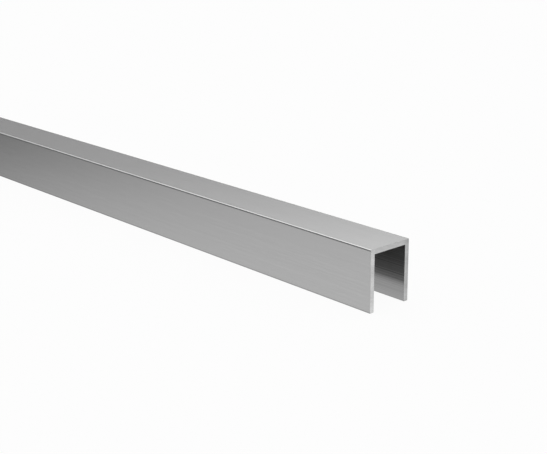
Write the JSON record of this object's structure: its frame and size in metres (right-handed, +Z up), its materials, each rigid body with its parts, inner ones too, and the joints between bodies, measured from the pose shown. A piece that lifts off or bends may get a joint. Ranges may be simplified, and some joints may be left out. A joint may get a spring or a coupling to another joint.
{
  "type": "metal channel section",
  "caption": "Straight U-shaped metal channel with equal legs, crisp outer corners and a square groove that caps or holds the edge of a glass or panel; both ends are cut square.",
  "frame": {"origin": "middle of the footprint, on the floor that both feet stand on: half-way along the bar and half-way across it", "axes": "+X along the bar, +Y across it, +Z up out of the web's outer face; the groove opens downward, towards -Z"},
  "size_m": [0.3048, 0.0158, 0.0191],
  "materials": {
    "brushed_aluminium": "satin, brushed along the length, with finely sawn ends"
  },
  "bodies": {
    "root": {"u_channel": "brushed_aluminium"}
  },
  "joints": []
}
